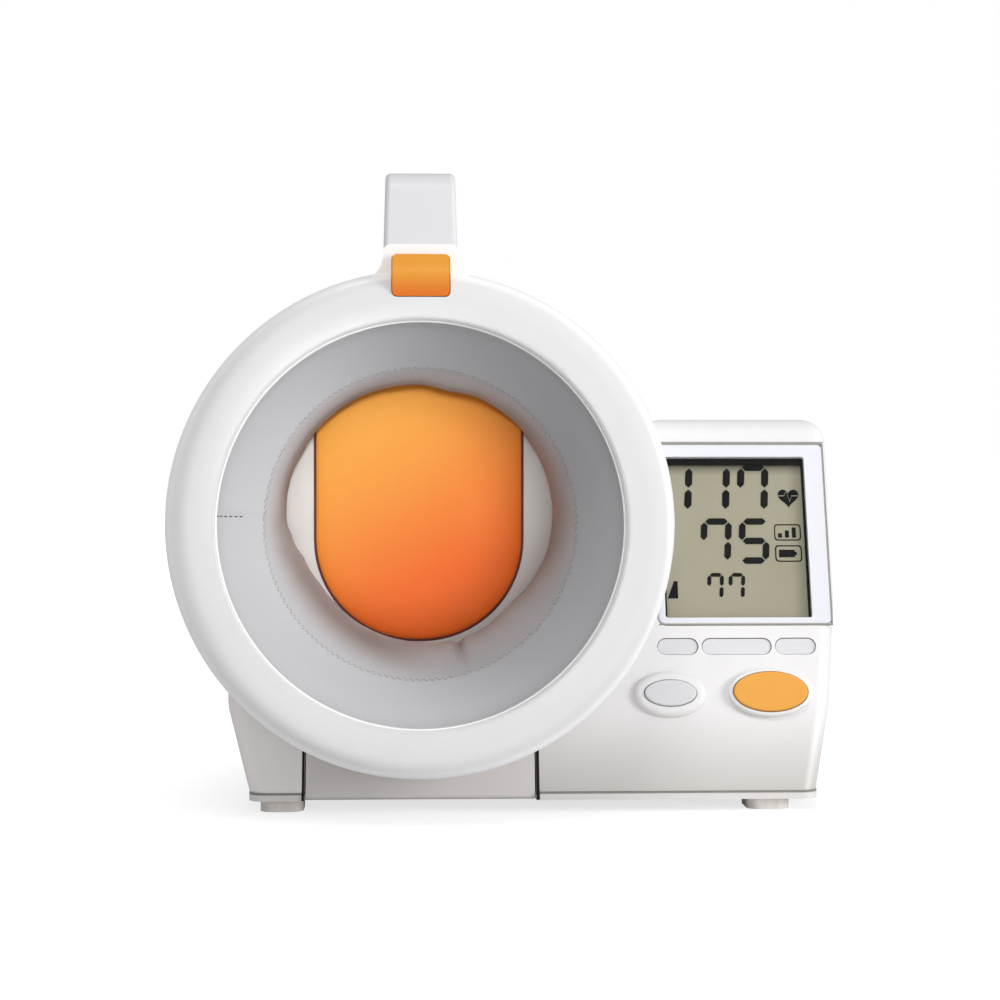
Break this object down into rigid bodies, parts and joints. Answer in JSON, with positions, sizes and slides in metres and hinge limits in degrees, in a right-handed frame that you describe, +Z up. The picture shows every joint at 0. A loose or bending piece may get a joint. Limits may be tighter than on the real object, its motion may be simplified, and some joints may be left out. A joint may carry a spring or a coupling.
{
  "type": "arm-in blood pressure monitor",
  "caption": "Desk blood pressure monitor with a tilting ring cuff tunnel for the upper arm, fold-down elbow rest, reclined display, keys and carrying handle",
  "frame": {"origin": "middle of the bounding box in plan, on the surface that the feet stand on", "axes": "+Z up, -Y is the front where the arm goes in, +X to the right seen from the front, the cuff's bore runs along Y"},
  "size_m": [0.2488, 0.185, 0.235],
  "materials": {
    "white_plastic": "satin moulded white",
    "grey_plastic": "satin light grey",
    "orange_plastic": "semi-gloss orange",
    "pale_key_plastic": "satin pale grey",
    "orange_pad": "soft orange elastomer",
    "cuff_fabric": "light grey woven nylon",
    "bladder_rubber": "matt air bag",
    "clear_window": "clear polished",
    "lcd_glass": "olive grey LCD with dark segments",
    "black_plastic": "matt black",
    "board": "green circuit board",
    "bright_steel": "plated steel",
    "membrane_rubber": "silicone mat",
    "foot_rubber": "pale grey rubber",
    "cell_wrap": "plain dark cell sleeve"
  },
  "bodies": {
    "base": {"base_bottom_cover": "white_plastic", "left_housing": "white_plastic", "right_housing": "white_plastic", "display_bezel": "grey_plastic", "display_window": "clear_window", "lcd_panel": "lcd_glass", "lcd_holder": "black_plastic", "main_circuit_board": "board", "key_membrane": "membrane_rubber", "pressure_sensor": "black_plastic", "buzzer": "black_plastic", "air_pump": "bright_steel", "exhaust_valve": "black_plastic", "air_hose": "bladder_rubber", "battery_holder": "black_plastic", "batteries": "cell_wrap", "battery_contacts": "bright_steel", "power_inlet": "black_plastic", "case_screws": "bright_steel", "rubber_feet": "foot_rubber", "cuff_hinge_shaft": "bright_steel", "elbow_hinge_pin": "bright_steel"},
    "cuff_unit": {"front_ring": "white_plastic", "tube_upper_housing": "white_plastic", "tube_lower_housing": "white_plastic", "rear_ring": "white_plastic", "cuff_core": "grey_plastic", "cuff_liner": "cuff_fabric", "air_bladder": "bladder_rubber", "handle_frame": "white_plastic", "handle_grip": "grey_plastic", "latch_pin": "bright_steel"},
    "open_button": {"open_button": "orange_plastic"},
    "latch_bar": {"latch_bar": "black_plastic"},
    "latch_hook": {"latch_hook": "grey_plastic"},
    "elbow_rest": {"elbow_rest_frame": "white_plastic", "elbow_pad": "orange_pad", "elbow_rest_cover": "white_plastic"},
    "memory_key": {"memory_key": "pale_key_plastic"},
    "user_key": {"user_key": "pale_key_plastic"},
    "clock_key": {"clock_key": "pale_key_plastic"},
    "power_button": {"power_button": "pale_key_plastic"},
    "start_button": {"start_button": "orange_plastic"},
    "battery_cover": {"battery_cover": "white_plastic"}
  },
  "joints": [
    {"name": "cuff_tilt", "type": "hinge", "parent": "base", "child": "cuff_unit", "pos_m": [-0.0344, 0.0395, 0.018], "axis": [-1, 0, 0], "range_deg": [0, 25]},
    {"name": "elbow_rest_fold", "type": "hinge", "parent": "base", "child": "elbow_rest", "pos_m": [-0.0344, 0.0705, 0.014], "axis": [-1, 0, 0], "range_deg": [0, 90]},
    {"name": "open_button_press", "type": "slide", "parent": "cuff_unit", "child": "open_button", "axis": [0, 1, 0], "range_m": [0, 0.0018], "stiffness_N_per_m": 900},
    {"name": "latch_bar_slide", "type": "slide", "parent": "cuff_unit", "child": "latch_bar", "axis": [0, 1, 0], "range_m": [0, 0.0018]},
    {"name": "latch_hook_lift", "type": "hinge", "parent": "cuff_unit", "child": "latch_hook", "pos_m": [-0.0344, 0.0505, 0.1955], "axis": [1, 0, 0], "range_deg": [0, 20]},
    {"name": "battery_cover_open", "type": "hinge", "parent": "base", "child": "battery_cover", "pos_m": [0.0836, 0.0913, 0.0137], "axis": [-1, 0, 0], "range_deg": [0, 80]},
    {"name": "memory_key_press", "type": "slide", "parent": "base", "child": "memory_key", "axis": [0, 0.9483, -0.3173], "range_m": [0, 0.001], "stiffness_N_per_m": 700},
    {"name": "user_key_press", "type": "slide", "parent": "base", "child": "user_key", "axis": [0, 0.9483, -0.3173], "range_m": [0, 0.001], "stiffness_N_per_m": 700},
    {"name": "clock_key_press", "type": "slide", "parent": "base", "child": "clock_key", "axis": [0, 0.9483, -0.3173], "range_m": [0, 0.001], "stiffness_N_per_m": 700},
    {"name": "power_button_press", "type": "slide", "parent": "base", "child": "power_button", "axis": [0, 0.9483, -0.3173], "range_m": [0, 0.0015], "stiffness_N_per_m": 700},
    {"name": "start_button_press", "type": "slide", "parent": "base", "child": "start_button", "axis": [0, 0.9483, -0.3173], "range_m": [0, 0.0015], "stiffness_N_per_m": 700}
  ],
  "couplings": [
    {"joint": "elbow_rest_fold", "follows": "cuff_tilt", "ratio": 3.6},
    {"joint": "latch_bar_slide", "follows": "open_button_press", "ratio": 1},
    {"joint": "latch_hook_lift", "follows": "open_button_press", "rad_per_m": 193.91}
  ]
}
